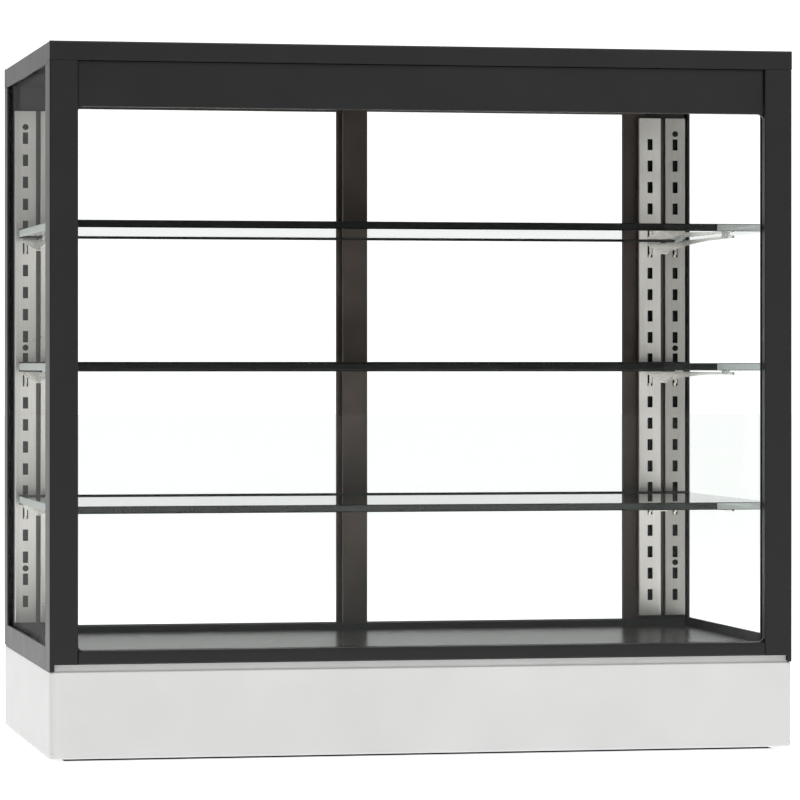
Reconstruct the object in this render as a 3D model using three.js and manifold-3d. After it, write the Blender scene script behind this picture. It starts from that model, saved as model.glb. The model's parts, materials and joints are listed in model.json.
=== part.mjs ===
// Bakery display case: a glazed counter-top cabinet with a steel base, three glass shelves on
// slotted uprights, a lit header and two sliding rear doors.
// Millimetres. +X right, +Y to the rear, +Z up. Origin: centre of the footprint on the counter.
import * as THREE from "three";
import { mergeVertices } from "three/addons/utils/BufferGeometryUtils.js";
import Module from "manifold-3d";

// Overall size
const WIDTH = 800;
const DEPTH = 450;
const HEIGHT = 750;
const GAP = 0.25; // air left between two pieces that touch on the real case

// Base cabinet
const BASE_TOP = 94;
const BASE_SHEET = 1.5;
const BASE_CORNER = 8;
const BASE_EDGE = 2;
const FOOT_RISE = 3; // clear height under the base
const FOOT_RADIUS = 17;
const FOOT_INSET = 50;
const PLATE_SHEET = 1.5;
const PLATE_RECESS = 2; // bottom plate above the rim of the base
const TAB_SIZE = 34;
const PLINTH_RISE = 7; // step on the base that carries the cabinet
const PLINTH_SETBACK = 5;
const DECK_SHEET = 1.5;

// Rear service recess with the mains inlet and the light switch
const SERVICE_X = 250;
const SERVICE_WIDTH = 130;
const SERVICE_HEIGHT = 50;
const SERVICE_DEPTH = 12;
const SERVICE_FLANGE = 10;
const INLET_SPREAD = 30; // inlet and switch, each side of the middle of the recess
const VENT_X = -150;
const VENT_COUNT = 14;
const VENT_WIDTH = 5;
const VENT_HEIGHT = 36;
const VENT_PITCH = 14;

// Light driver in the base
const DRIVER_X = 60;
const DRIVER_DEPTH = 300; // its front from the front of the case
const DRIVER_LENGTH = 160;
const DRIVER_WIDTH = 42;
const DRIVER_HEIGHT = 30;
const EAR_LENGTH = 12;
const EAR_STEP = 6;
const EAR_THICK = 3;

// Frame
const POST_WIDTH = 30;
const POST_DEPTH = 20;
const SKIN = 3; // outer leaf of the side frames, outside the glass
const FRONT_SKIN_DEPTH = 40;
const LIP = 5; // lower edge of the side frames, beside the plinth
const FRONT_RAIL_HEIGHT = 14.25;
const SIDE_RAIL_HEIGHT = 23.75;
const SIDE_RAIL_WIDTH = 20;
const TUBE_WALL = 2;
const WEB = 5.5;
const TOP_RAIL_HEIGHT = 20;
const SIDE_TOP_RAIL_HEIGHT = 22;
const ROOF_LEDGE_DROP = 5.5; // roof ledge below the top of the frame
const ROOF_LEDGE_SHEET = 3;
const ROOF_RIM = 4;
const ROOF_SHEET = 3;
const FRAME_ROUND = 2;

// Glass
const GLASS = 4;
const GLASS_PLAY = 0.5; // air on each face of a pane in its groove
const FRONT_GLASS_SETBACK = 12;
const GROOVE = 6;

// Header and its light
const HEADER_HEIGHT = 68; // from the top of the frame
const HEADER_SETBACK = 5;
const HEADER_SHEET = 2;
const LIGHT_WIDTH = 16;
const LIGHT_HEIGHT = 12;
const LIGHT_WALL = 2;
const LIGHT_DROP = 60; // underside of the light below the top of the frame

// Rear door frame
const REAR_POST_WIDTH = 50;
const REAR_DEPTH = 30;
const REAR_POCKET = 10; // side pane and side rail into the rear frame
const SILL_HEIGHT = 21.25;
const LINTEL_HEIGHT = 42.5;
const TRACK_WALL = 2.5;
const TRACK_FLOOR = 2.75;
const TRACK_ROOM = 34; // depth of the upper tracks, so that a door lifts out

// Sliding doors
const DOOR_OVERLAP = 24;
const DOOR_PLAY = 0.5;
const DOOR_ENGAGE = 14; // door inside the upper track
const DOOR_THICK = 8;
const STILE_WIDTH = 28.5;
const DOOR_RAIL = 16;
const PULL_WIDTH = 18;
const PULL_LENGTH = 120;
const PULL_THICK = 3.25;
const PULL_PLATE = 1.25;

// Slotted uprights
const UPRIGHT_SHEET = 1.5;
const LEAF_OUTER = 24.25;
const LEAF_INNER = 26;
const UPRIGHT_GROOVE = 5;
const GROOVE_DEPTH = 5;
const UPRIGHT_RISE = 5.5; // foot of the upright above the door sill
const UPRIGHT_DROP = 6.75; // top of the upright below the lintel
const UPRIGHT_DEPTH = 8; // front of the leaves to the rear posts
const SLOT_WIDTH = 6;
const SLOT_HEIGHT = 13;
const SLOT_PITCH = 25;
const SLOT_MARGIN = 24; // first slot above the foot of the upright, and last below its top

// Shelves and brackets
const SHELF_COUNT = 3;
const SHELF_FIRST_SLOT = 4; // slots below the first pair of hooks
const SHELF_STEP = 6; // slots from one shelf to the next
const SHELF_RISE = 20; // top of a shelf above the middle of its slot
const SHELF_GLASS = 8;
const SHELF_PLAY = 2.75; // air between a shelf and the side panes
const SHELF_FRONT = 26;
const SHELF_BACK_GAP = 26; // from a shelf back to the uprights
const TRIM_WALL = 1.25;
const TRIM_LIP = 4;
const ARM_THICK = 3;
const ARM_REACH = 300;
const ARM_HEIGHTS = [12, 6, 3]; // at the plate, a third along and two thirds along
const BRACKET_PLATE = 2.5;
const BRACKET_DROP = 13;
const HOOK_THICK = 3;
const HOOK_HEIGHT = 8.5;
const HOOK_TOOTH = 5.5;

// Rocker switch and inlet
const SWITCH_WIDTH = 15;
const SWITCH_HEIGHT = 21;
const SWITCH_WALL = 1.75;
const BEZEL = 2;
const ROCKER_TILT = 8; // degrees each side of level
const INLET_WIDTH = 27;
const INLET_HEIGHT = 20;
const INLET_DEPTH = 20;
const INLET_FLANGE = 2.5;
const INLET_WALL = 1.5;
const PIN_DEPTH = 12;

const ARC_STEPS = 4;
const ROUND_STEPS = 32;

const wasm = await Module();
wasm.setup();

const AXES = {
  x: [new THREE.Vector3(0, 1, 0), new THREE.Vector3(0, 0, 1), new THREE.Vector3(1, 0, 0)],
  y: [new THREE.Vector3(0, 0, 1), new THREE.Vector3(1, 0, 0), new THREE.Vector3(0, 1, 0)],
  z: [new THREE.Vector3(1, 0, 0), new THREE.Vector3(0, 1, 0), new THREE.Vector3(0, 0, 1)],
};

// Colour, roughness and metalness of each finish.
const FINISHES = {
  whitePaint: [0xe1e1e1, 0.4, 0],
  blackPaint: [0x2f2f2f, 0.45, 0],
  darkAluminium: [0x45403d, 0.4, 0.6],
  stainless: [0xbdb8b2, 0.28, 1],
  mirrorSteel: [0xc8c8c8, 0.1, 1],
  aluminium: [0xb9bbbd, 0.35, 1],
  galvanised: [0x9a9c9d, 0.5, 0.9],
  glass: [0xdfe8e6, 0.03, 0],
  rubber: [0x1c1c1c, 0.85, 0],
  plastic: [0x161616, 0.5, 0],
  diffuser: [0xf6f6f2, 0.6, 0],
};

const root = new THREE.Group();

// A closed geometry as a manifold solid.
function solidOf(geometry) {
  const bare = geometry.clone();
  bare.deleteAttribute("normal");
  bare.deleteAttribute("uv");
  const merged = mergeVertices(bare, 1e-4);
  const vertProperties = merged.attributes.position.array;
  const triVerts = new Uint32Array(merged.index.array);
  return new wasm.Manifold(new wasm.Mesh({ numProp: 3, vertProperties, triVerts }));
}

// A manifold solid as a geometry.
function geometryOf(solid) {
  const mesh = solid.getMesh();
  const geometry = new THREE.BufferGeometry();
  geometry.setAttribute("position", new THREE.BufferAttribute(mesh.vertProperties, 3));
  geometry.setIndex(new THREE.BufferAttribute(mesh.triVerts, 1));
  return geometry;
}

function part(name, solid, finish) {
  const [color, roughness, metalness] = FINISHES[finish];
  const material = new THREE.MeshStandardMaterial({ color, roughness, metalness });
  const mesh = new THREE.Mesh(geometryOf(solid), material);
  mesh.name = name;
  root.add(mesh);
}

const join = (first, ...others) => others.reduce((whole, piece) => whole.add(piece), first);
const cut = (whole, ...tools) => tools.reduce((rest, tool) => rest.subtract(tool), whole);

// Depth from the front face of the case, and distance from one side face, as coordinates.
const yAt = (depth) => -DEPTH / 2 + depth;
const xAt = (side, inset) => side * (WIDTH / 2 - inset);

// A box between two values on each axis, in any order.
function block([x0, x1], [y0, y1], [z0, z1]) {
  const geometry = new THREE.BoxGeometry(Math.abs(x1 - x0), Math.abs(y1 - y0), Math.abs(z1 - z0));
  geometry.translate((x0 + x1) / 2, (y0 + y1) / 2, (z0 + z1) / 2);
  return solidOf(geometry);
}

// A box given by insets from one side face, depths from the front and heights.
function sideBlock(side, [s0, s1], [d0, d1], heights) {
  return block([xAt(side, s0), xAt(side, s1)], [yAt(d0), yAt(d1)], heights);
}

// A closed outline from [a, b] or [a, b, radius] corners.
function outline(corners) {
  const shape = new THREE.Shape();
  corners.forEach(([a, b, radius = 0], i) => {
    const corner = new THREE.Vector2(a, b);
    const towards = ([u, v]) => new THREE.Vector2(u, v).sub(corner).setLength(radius).add(corner);
    const start = radius ? towards(corners.at(i - 1)) : corner;
    if (i === 0) shape.moveTo(start.x, start.y);
    else shape.lineTo(start.x, start.y);
    if (!radius) return;
    const end = towards(corners[(i + 1) % corners.length]);
    shape.quadraticCurveTo(a, b, end.x, end.y);
  });
  shape.closePath();
  return shape;
}

// An outline pushed along an axis. Its corners are (y, z) on x, (z, x) on y and (x, y) on z.
function prism(axis, corners, from, to) {
  const options = { depth: to - from, bevelEnabled: false, curveSegments: ARC_STEPS };
  const geometry = new THREE.ExtrudeGeometry(outline(corners), options);
  geometry.translate(0, 0, from);
  geometry.applyMatrix4(new THREE.Matrix4().makeBasis(...AXES[axis]));
  return solidOf(geometry);
}

function rectangle([a0, a1], [b0, b1], radius) {
  return [[a0, b0, radius], [a1, b0, radius], [a1, b1, radius], [a0, b1, radius]];
}

// A footprint-sized box, drawn in by an inset, with upright corners rounded.
function footprint(inset, [z0, z1]) {
  const half = [WIDTH / 2 - inset, DEPTH / 2 - inset];
  const corners = rectangle([-half[0], half[0]], [-half[1], half[1]], BASE_CORNER - inset);
  return prism("z", corners, z0, z1);
}

// Heights shared by several pieces
const plateBottom = FOOT_RISE + PLATE_RECESS;
const plateTop = plateBottom + PLATE_SHEET;
const plinthTop = BASE_TOP + PLINTH_RISE;
const frameFoot = BASE_TOP + GAP;
const railFoot = plinthTop + GAP;
const frontRailTop = railFoot + FRONT_RAIL_HEIGHT;
const webTop = railFoot + WEB;
const frontRailUnder = HEIGHT - TOP_RAIL_HEIGHT;
const sideRailUnder = HEIGHT - SIDE_TOP_RAIL_HEIGHT;
const roofLedge = HEIGHT - ROOF_LEDGE_DROP;
const glassPlane = SKIN + GAP; // outer face of a side pane from the side of the case
const rearStart = DEPTH - REAR_DEPTH;
const sillTop = frameFoot + SILL_HEIGHT;
const sideRailTop = frameFoot + SIDE_RAIL_HEIGHT;
const lintelBottom = HEIGHT - LINTEL_HEIGHT;
const serviceZ = (FOOT_RISE + BASE_TOP) / 2;
const paneInside = glassPlane + GLASS; // inner face of a side pane

// ---- Base ----

function baseHousing() {
  const half = [WIDTH / 2, DEPTH / 2];
  const shape = outline(rectangle([-half[0], half[0]], [-half[1], half[1]], BASE_CORNER));
  const shell = new THREE.ExtrudeGeometry(shape, {
    depth: BASE_TOP - FOOT_RISE - 2 * BASE_EDGE,
    bevelThickness: BASE_EDGE,
    bevelSize: BASE_EDGE,
    bevelOffset: -BASE_EDGE,
    bevelSegments: 3,
    curveSegments: ARC_STEPS,
  });
  shell.translate(0, 0, FOOT_RISE + BASE_EDGE);
  const plinthSides = [xAt(-1, LIP + GAP), xAt(1, LIP + GAP)];
  const plinthDepth = [yAt(PLINTH_SETBACK), yAt(rearStart - GAP)];
  const plinth = block(plinthSides, plinthDepth, [BASE_TOP - BASE_EDGE, plinthTop]);
  const hollow = footprint(BASE_SHEET, [0, BASE_TOP - BASE_SHEET]);
  const plinthHollow = block(
    [plinthSides[0] + BASE_SHEET, plinthSides[1] - BASE_SHEET],
    [plinthDepth[0] + BASE_SHEET, plinthDepth[1] - BASE_SHEET],
    [BASE_TOP - 2 * BASE_SHEET, plinthTop - BASE_SHEET],
  );
  return cut(join(solidOf(shell), plinth), hollow, plinthHollow);
}

// Tabs in the four corners that the bottom plate screws to.
function cornerTabs() {
  const tab = [plateTop + GAP, plateTop + GAP + BASE_SHEET];
  const inner = BASE_SHEET / 2;
  return [-1, 1].flatMap((side) =>
    [-1, 1].map((end) => {
      const corner = [side * (WIDTH / 2 - inner), end * (DEPTH / 2 - inner)];
      const reach = [corner[0] - side * TAB_SIZE, corner[1] - end * TAB_SIZE];
      return block([corner[0], reach[0]], [corner[1], reach[1]], tab);
    }),
  );
}

function serviceCut(grow, depths) {
  const across = SERVICE_WIDTH / 2 + grow;
  const up = SERVICE_HEIGHT / 2 + grow;
  return block(
    [SERVICE_X - across, SERVICE_X + across],
    depths.map(yAt),
    [serviceZ - up, serviceZ + up],
  );
}

function ventCuts() {
  return Array.from({ length: VENT_COUNT }, (_, i) => {
    const x = VENT_X + (i - (VENT_COUNT - 1) / 2) * VENT_PITCH;
    return block(
      [x - VENT_WIDTH / 2, x + VENT_WIDTH / 2],
      [yAt(DEPTH - 2 * BASE_SHEET), yAt(DEPTH + 1)],
      [serviceZ - VENT_HEIGHT / 2, serviceZ + VENT_HEIGHT / 2],
    );
  });
}

function foot(side, end) {
  const profile = [
    [0, 0],
    [FOOT_RADIUS - 2, 0],
    [FOOT_RADIUS, FOOT_RISE / 2],
    [FOOT_RADIUS, plateBottom - GAP],
    [0, plateBottom - GAP],
  ].map(([r, z]) => new THREE.Vector2(r, z));
  const geometry = new THREE.LatheGeometry(profile, ROUND_STEPS);
  geometry.rotateX(Math.PI / 2);
  geometry.translate(xAt(side, FOOT_INSET), end * (DEPTH / 2 - FOOT_INSET), 0);
  return solidOf(geometry);
}

function ledDriver() {
  const xs = [DRIVER_X, DRIVER_X + DRIVER_LENGTH];
  const ys = [yAt(DRIVER_DEPTH), yAt(DRIVER_DEPTH + DRIVER_WIDTH)];
  const foot = plateTop + GAP;
  const box = block(xs, ys, [foot, foot + DRIVER_HEIGHT]);
  const ears = block(
    [xs[0] - EAR_LENGTH, xs[1] + EAR_LENGTH],
    [ys[0] + EAR_STEP, ys[1] - EAR_STEP],
    [foot, foot + EAR_THICK],
  );
  return join(box, ears);
}

const panelDepth = DEPTH - SERVICE_DEPTH; // front face of the tray floor
const trayWall = BASE_SHEET;

function servicePanel() {
  const behindWall = DEPTH - BASE_SHEET - GAP;
  const flange = serviceCut(SERVICE_FLANGE, [behindWall - trayWall, behindWall]);
  const tray = serviceCut(-GAP, [panelDepth, DEPTH - GAP]);
  const well = serviceCut(-GAP - trayWall, [panelDepth + trayWall, DEPTH + 1]);
  const inletHole = serviceHole(-INLET_SPREAD, INLET_WIDTH, INLET_HEIGHT);
  const switchHole = serviceHole(INLET_SPREAD, SWITCH_WIDTH, SWITCH_HEIGHT);
  return cut(join(flange, tray), well, inletHole, switchHole);
}

function serviceHole(offset, width, height) {
  return serviceBlock(offset, width + 2 * GAP, height + 2 * GAP, [panelDepth - 1, panelDepth + 3]);
}

function serviceBlock(offset, width, height, depths) {
  const x = SERVICE_X + offset;
  return block(
    [x - width / 2, x + width / 2],
    depths.map(yAt),
    [serviceZ - height / 2, serviceZ + height / 2],
  );
}

const panelFace = panelDepth + trayWall + GAP; // where flanges lie on the tray floor

function powerInlet() {
  const back = panelFace - INLET_DEPTH;
  const face = panelFace + INLET_FLANGE;
  const body = serviceBlock(-INLET_SPREAD, INLET_WIDTH, INLET_HEIGHT, [back, panelFace + 1]);
  const rim = serviceBlock(-INLET_SPREAD, INLET_WIDTH + 10, INLET_HEIGHT + 4, [panelFace, face]);
  const well = serviceBlock(
    -INLET_SPREAD,
    INLET_WIDTH - 2 * INLET_WALL,
    INLET_HEIGHT - 2 * INLET_WALL,
    [back + INLET_WALL, face + 1],
  );
  const pins = [-7, 0, 7].map((offset) => {
    const pin = serviceBlock(offset - INLET_SPREAD, 2, 4, [back, back + INLET_WALL + PIN_DEPTH]);
    return pin.translate([0, 0, offset === 0 ? 2.5 : -1.5]);
  });
  return join(cut(join(body, rim), well), ...pins);
}

const switchBack = panelFace - 16;
const switchFace = panelFace + BEZEL;

function switchBody() {
  const body = serviceBlock(INLET_SPREAD, SWITCH_WIDTH, SWITCH_HEIGHT, [switchBack, panelFace + 1]);
  const rim = serviceBlock(INLET_SPREAD, SWITCH_WIDTH + 4, SWITCH_HEIGHT + 4, [panelFace, switchFace]);
  const well = serviceBlock(
    INLET_SPREAD,
    SWITCH_WIDTH - 2 * SWITCH_WALL,
    SWITCH_HEIGHT - 2 * SWITCH_WALL,
    [switchBack + SWITCH_WALL, switchFace + 1],
  );
  return cut(join(body, rim), well);
}

// The rocker: a shallow V across the well, pressed at its upper end.
function switchRocker() {
  const play = 1;
  const length = SWITCH_HEIGHT / 2 - SWITCH_WALL - play;
  const corners = [[-3, -length], [2.5, -length, 0.6], [1.2, 0], [2.5, length, 0.6], [-3, length]];
  const half = SWITCH_WIDTH / 2 - SWITCH_WALL - GAP;
  const options = { depth: 2 * half, bevelEnabled: false, curveSegments: ARC_STEPS };
  const geometry = new THREE.ExtrudeGeometry(outline(corners), options);
  geometry.translate(0, 0, -half);
  geometry.applyMatrix4(new THREE.Matrix4().makeBasis(...AXES.x));
  geometry.rotateX(THREE.MathUtils.degToRad(ROCKER_TILT));
  geometry.translate(SERVICE_X + INLET_SPREAD, yAt(switchFace), serviceZ);
  return solidOf(geometry);
}

function makeBase() {
  const rearWall = [DEPTH - 2 * BASE_SHEET, DEPTH + 1];
  const housing = join(cut(baseHousing(), serviceCut(0, rearWall), ...ventCuts()), ...cornerTabs());
  part("base_housing", housing, "whitePaint");
  part("base_bottom_plate", footprint(BASE_SHEET + GAP, [plateBottom, plateTop]), "galvanised");
  part("foot_front_left", foot(-1, -1), "rubber");
  part("foot_front_right", foot(1, -1), "rubber");
  part("foot_rear_left", foot(-1, 1), "rubber");
  part("foot_rear_right", foot(1, 1), "rubber");
  const deckInset = paneInside + GAP;
  const deck = block(
    [xAt(-1, deckInset), xAt(1, deckInset)],
    [yAt(POST_DEPTH + GAP), yAt(rearStart - GAP)],
    [webTop + GAP, webTop + GAP + DECK_SHEET],
  );
  part("deck_panel", deck, "mirrorSteel");
  part("led_driver", ledDriver(), "aluminium");
  part("service_panel", servicePanel(), "galvanised");
  part("power_inlet", powerInlet(), "plastic");
  part("switch_body", switchBody(), "plastic");
  part("switch_rocker", switchRocker(), "plastic");
}

// ---- Frame ----

const grooveFront = FRONT_GLASS_SETBACK - GLASS_PLAY;
const grooveBack = FRONT_GLASS_SETBACK + GLASS + GLASS_PLAY;

function frontPost(side) {
  const corners = [
    [0, 0, FRAME_ROUND],
    [POST_WIDTH, 0, FRAME_ROUND],
    [POST_WIDTH, grooveFront],
    [POST_WIDTH - GROOVE, grooveFront],
    [POST_WIDTH - GROOVE, grooveBack],
    [POST_WIDTH, grooveBack],
    [POST_WIDTH, POST_DEPTH],
    [0, POST_DEPTH],
  ];
  const placed = corners.map(([s, d, radius]) => [xAt(side, s), yAt(d), radius]);
  const core = prism("z", placed, railFoot, frontRailUnder - GAP);
  const skin = sideBlock(side, [0, SKIN], [POST_DEPTH - 1, FRONT_SKIN_DEPTH], [
    frameFoot,
    sideRailUnder - GAP,
  ]);
  const skirtCorners = [[0, 0, FRAME_ROUND], [LIP, 0], [LIP, FRONT_SKIN_DEPTH], [0, FRONT_SKIN_DEPTH]];
  const skirtPlaced = skirtCorners.map(([s, d, radius]) => [xAt(side, s), yAt(d), radius]);
  const skirt = prism("z", skirtPlaced, frameFoot, railFoot + 1);
  const hollow = sideBlock(
    side,
    [TUBE_WALL, POST_WIDTH - GROOVE - TUBE_WALL],
    [TUBE_WALL, POST_DEPTH - TUBE_WALL],
    [0, HEIGHT],
  );
  return cut(join(core, skin, skirt), hollow);
}

function rearPost(side) {
  const pocket = paneInside + GAP;
  const corners = [
    [0, DEPTH, FRAME_ROUND],
    [REAR_POST_WIDTH, DEPTH, FRAME_ROUND],
    [REAR_POST_WIDTH, rearStart],
    [pocket, rearStart],
    [pocket, rearStart + REAR_POCKET],
    [SKIN, rearStart + REAR_POCKET],
    [SKIN, rearStart],
    [0, rearStart],
  ];
  const placed = corners.map(([s, d, radius]) => [xAt(side, s), yAt(d), radius]);
  const hollow = sideBlock(
    side,
    [pocket + TUBE_WALL, REAR_POST_WIDTH - TUBE_WALL],
    [rearStart + TUBE_WALL, DEPTH - TUBE_WALL],
    [0, HEIGHT],
  );
  return cut(prism("z", placed, frameFoot, sideRailUnder - GAP), hollow);
}

function frontBottomRail() {
  const corners = [
    [0, railFoot, FRAME_ROUND],
    [POST_DEPTH, railFoot],
    [POST_DEPTH, frontRailTop],
    [grooveBack, frontRailTop],
    [grooveBack, frontRailTop - GROOVE],
    [grooveFront, frontRailTop - GROOVE],
    [grooveFront, frontRailTop],
    [0, frontRailTop, FRAME_ROUND],
  ];
  const placed = corners.map(([d, z, radius]) => [yAt(d), z, radius]);
  return prism("x", placed, xAt(-1, POST_WIDTH + GAP), xAt(1, POST_WIDTH + GAP));
}

// A side rail from its section, given as insets from the side and heights.
function sideRail(side, section, [d0, d1]) {
  const placed = section.map(([s, z, radius]) => [z, xAt(side, s), radius]);
  return prism("y", placed, yAt(d0), yAt(d1));
}

function sideBottomRail(side) {
  const section = [
    [0, frameFoot],
    [LIP, frameFoot],
    [LIP, railFoot],
    [SIDE_RAIL_WIDTH, railFoot],
    [SIDE_RAIL_WIDTH, webTop],
    [SKIN, webTop],
    [SKIN, sideRailTop],
    [0, sideRailTop],
  ];
  return sideRail(side, section, [FRONT_SKIN_DEPTH + GAP, rearStart - GAP]);
}

function sideTopRail(side) {
  const section = [
    [0, sideRailUnder],
    [SKIN, sideRailUnder],
    [SKIN, roofLedge - ROOF_LEDGE_SHEET],
    [SIDE_RAIL_WIDTH, roofLedge - ROOF_LEDGE_SHEET],
    [SIDE_RAIL_WIDTH, roofLedge],
    [ROOF_RIM, roofLedge],
    [ROOF_RIM, HEIGHT],
    [0, HEIGHT, FRAME_ROUND],
  ];
  return sideRail(side, section, [POST_DEPTH + GAP, rearStart + REAR_POCKET - GAP]);
}

function frontTopRail() {
  const corners = [
    [0, frontRailUnder],
    [POST_DEPTH, frontRailUnder],
    [POST_DEPTH, roofLedge],
    [ROOF_RIM, roofLedge],
    [ROOF_RIM, HEIGHT],
    [0, HEIGHT, FRAME_ROUND],
  ];
  const placed = corners.map(([d, z, radius]) => [yAt(d), z, radius]);
  const rail = prism("x", placed, -WIDTH / 2, WIDTH / 2);
  return join(rail, cornerRim(-1, [1, POST_DEPTH]), cornerRim(1, [1, POST_DEPTH]));
}

// The raised rim beside the roof panel at the end of a cross rail.
function cornerRim(side, depths) {
  const corners = [
    [0, roofLedge - 1],
    [ROOF_RIM, roofLedge - 1],
    [ROOF_RIM, HEIGHT],
    [0, HEIGHT, FRAME_ROUND],
  ];
  return sideRail(side, corners, depths);
}

// Two channels along the doors' tracks, cut from the given heights.
function trackCuts([z0, z1]) {
  const room = (REAR_DEPTH - 3 * TRACK_WALL) / 2;
  return [0, 1].map((i) => {
    const start = rearStart + TRACK_WALL + i * (room + TRACK_WALL);
    return block([-WIDTH, WIDTH], [yAt(start), yAt(start + room)], [z0, z1]);
  });
}

const openingHalf = WIDTH / 2 - REAR_POST_WIDTH;

function rearSill() {
  const inside = openingHalf - GAP;
  const corners = [
    [rearStart, frameFoot],
    [DEPTH, frameFoot],
    [DEPTH, sillTop],
    [rearStart, sillTop],
  ].map(([d, z]) => [yAt(d), z]);
  const body = prism("x", corners, -inside, inside);
  return cut(body, ...trackCuts([frameFoot + TRACK_FLOOR, sillTop + 1]));
}

function rearTopRail() {
  const inside = openingHalf - GAP;
  const upperStart = rearStart + REAR_POCKET;
  const lintel = block([-inside, inside], [yAt(rearStart), yAt(DEPTH)], [lintelBottom, roofLedge]);
  const corners = [
    [upperStart, sideRailUnder],
    [DEPTH, sideRailUnder],
    [DEPTH, HEIGHT, FRAME_ROUND],
    [DEPTH - ROOF_RIM, HEIGHT],
    [DEPTH - ROOF_RIM, roofLedge],
    [upperStart, roofLedge],
  ].map(([d, z, radius]) => [yAt(d), z, radius]);
  const band = prism("x", corners, -WIDTH / 2, WIDTH / 2);
  const rims = [-1, 1].map((side) => cornerRim(side, [upperStart, DEPTH - 1]));
  const tracks = trackCuts([lintelBottom - 1, lintelBottom + TRACK_ROOM]);
  const slot = [-inside, inside];
  const kept = tracks.map((track) => track.intersect(block(slot, [-DEPTH, DEPTH], [0, HEIGHT])));
  return cut(join(lintel, band, ...rims), ...kept);
}

function roofPanel() {
  const inset = ROOF_RIM + GAP;
  return block(
    [xAt(-1, inset), xAt(1, inset)],
    [yAt(inset), yAt(DEPTH - inset)],
    [roofLedge + GAP, roofLedge + GAP + ROOF_SHEET],
  );
}

function makeFrame() {
  part("post_front_left", frontPost(-1), "blackPaint");
  part("post_front_right", frontPost(1), "blackPaint");
  part("post_rear_left", rearPost(-1), "blackPaint");
  part("post_rear_right", rearPost(1), "blackPaint");
  part("front_bottom_rail", frontBottomRail(), "blackPaint");
  part("left_bottom_rail", sideBottomRail(-1), "blackPaint");
  part("right_bottom_rail", sideBottomRail(1), "blackPaint");
  part("rear_door_sill", rearSill(), "blackPaint");
  part("front_top_rail", frontTopRail(), "blackPaint");
  part("left_top_rail", sideTopRail(-1), "blackPaint");
  part("right_top_rail", sideTopRail(1), "blackPaint");
  part("rear_top_rail", rearTopRail(), "blackPaint");
  part("roof_panel", roofPanel(), "blackPaint");
}

// ---- Glazing and header light ----

function makeGlazing() {
  const half = WIDTH / 2 - POST_WIDTH + GROOVE - 2 * GAP;
  const front = block(
    [-half, half],
    [yAt(FRONT_GLASS_SETBACK), yAt(FRONT_GLASS_SETBACK + GLASS)],
    [frontRailTop - GROOVE + GAP, frontRailUnder - GAP],
  );
  part("front_glass", front, "glass");
  const sides = [["left_glass", -1], ["right_glass", 1]];
  for (const [name, side] of sides) {
    const depths = [POST_DEPTH + GAP, rearStart + REAR_POCKET - GAP];
    const heights = [webTop + GAP, roofLedge - ROOF_LEDGE_SHEET - GAP];
    part(name, sideBlock(side, [glassPlane, glassPlane + GLASS], depths, heights), "glass");
  }
}

function lightHeader() {
  const front = HEADER_SETBACK;
  const back = grooveFront - GAP;
  const top = frontRailUnder - GAP;
  const bottom = HEIGHT - HEADER_HEIGHT;
  const sheet = HEADER_SHEET;
  const corners = [
    [front, bottom, 1],
    [back, bottom],
    [back, bottom + sheet],
    [front + sheet, bottom + sheet],
    [front + sheet, top - sheet],
    [back, top - sheet],
    [back, top],
    [front, top],
  ].map(([d, z, radius]) => [yAt(d), z, radius]);
  return prism("x", corners, xAt(-1, POST_WIDTH + GAP), xAt(1, POST_WIDTH + GAP));
}

const lightBottom = HEIGHT - LIGHT_DROP;
const lightFront = grooveBack + 2 * GAP;
const lightSpan = [xAt(-1, POST_WIDTH + GAP), xAt(1, POST_WIDTH + GAP)];

// An angle that hangs from the roof behind the header, with a channel for the light strip.
function lightProfile() {
  const leg = lightFront;
  const wall = LIGHT_WALL;
  const channel = leg + LIGHT_WIDTH;
  const channelTop = lightBottom + LIGHT_HEIGHT;
  const hook = POST_DEPTH + wall; // behind the front top rail
  const step = frontRailUnder - GAP;
  const hookTop = roofLedge - GAP;
  const corners = [
    [leg, lightBottom],
    [leg + wall, lightBottom],
    [leg + wall, channelTop - wall],
    [channel - wall, channelTop - wall],
    [channel - wall, lightBottom],
    [channel, lightBottom],
    [channel, channelTop],
    [leg + wall, channelTop],
    [leg + wall, step - wall],
    [hook + wall, step - wall],
    [hook + wall, hookTop],
    [hook, hookTop],
    [hook, step],
    [leg, step],
  ].map(([d, z]) => [yAt(d), z]);
  return prism("x", corners, ...lightSpan);
}

function lightDiffuser() {
  const inner = [lightFront + LIGHT_WALL + GAP, lightFront + LIGHT_WIDTH - LIGHT_WALL - GAP];
  return block(lightSpan, inner.map(yAt), [lightBottom + 0.5, lightBottom + 3.5]);
}

function makeHeader() {
  part("light_header", lightHeader(), "blackPaint");
  part("canopy_light_profile", lightProfile(), "aluminium");
  part("canopy_light_diffuser", lightDiffuser(), "diffuser");
}

// ---- Uprights ----

const uprightFace = rearStart - UPRIGHT_DEPTH;
const uprightFoot = sillTop + UPRIGHT_RISE;
const uprightTop = lintelBottom - UPRIGHT_DROP;
const leafStart = paneInside + 2 * GAP;
const leafOuter = [leafStart, leafStart + LEAF_OUTER];
const leafInner = [leafOuter[1] + UPRIGHT_GROOVE, leafOuter[1] + UPRIGHT_GROOVE + LEAF_INNER];
const slotColumns = [leafOuter, leafInner].map(([s0, s1]) => (s0 + s1) / 2);
const slotHeight = (i) => uprightFoot + SLOT_MARGIN + i * SLOT_PITCH;
const slotCount = 1 + Math.floor((uprightTop - uprightFoot - 2 * SLOT_MARGIN) / SLOT_PITCH);

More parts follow.
